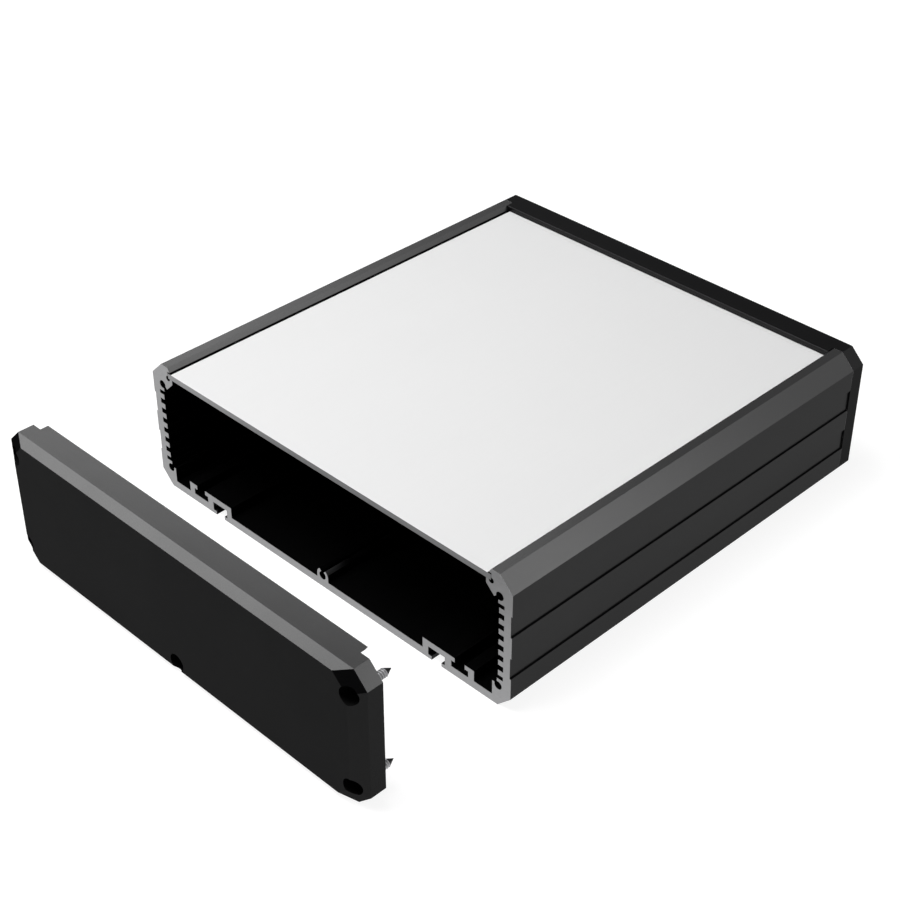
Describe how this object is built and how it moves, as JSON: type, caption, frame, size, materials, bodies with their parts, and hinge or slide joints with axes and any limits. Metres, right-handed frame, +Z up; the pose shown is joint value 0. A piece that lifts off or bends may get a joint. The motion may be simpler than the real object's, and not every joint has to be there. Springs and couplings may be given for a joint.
{
  "type": "extruded aluminium enclosure",
  "caption": "Extruded aluminium instrument case with card guides, a sliding top cover and bevelled screw-on end caps, the front cap taken off.",
  "frame": {"origin": "middle of the underside of the extruded case", "axes": "X across the case, -Y towards the open front end and the cap taken off, Z up"},
  "size_m": [0.1676, 0.2359, 0.0504],
  "materials": {
    "body": "black anodised, semi-gloss, bare at the cut ends",
    "cover": "natural, fine matt",
    "front_cap": "die-cast, black satin paint",
    "rear_cap": "die-cast, black paint, duller than the front cap",
    "screw": "zinc plated"
  },
  "bodies": {
    "enclosure": {"enclosure_body": "body", "rear_end_cap": "rear_cap", "rear_screw_top_left": "screw", "rear_screw_top_right": "screw", "rear_screw_bottom_left": "screw", "rear_screw_bottom_right": "screw", "rear_screw_bottom_middle": "screw"},
    "cover": {"top_cover": "cover"},
    "front_cap": {"front_end_cap": "front_cap", "front_screw_top_left": "screw", "front_screw_top_right": "screw", "front_screw_bottom_left": "screw", "front_screw_bottom_right": "screw", "front_screw_bottom_middle": "screw"}
  },
  "joints": [
    {"name": "cover_slide", "type": "slide", "parent": "enclosure", "child": "cover", "axis": [0, -1, 0], "range_m": [0, 0.14]},
    {"name": "cap_fitting", "type": "slide", "parent": "cover", "child": "front_cap", "axis": [0, 1, 0], "range_m": [0, 0.05065]}
  ]
}
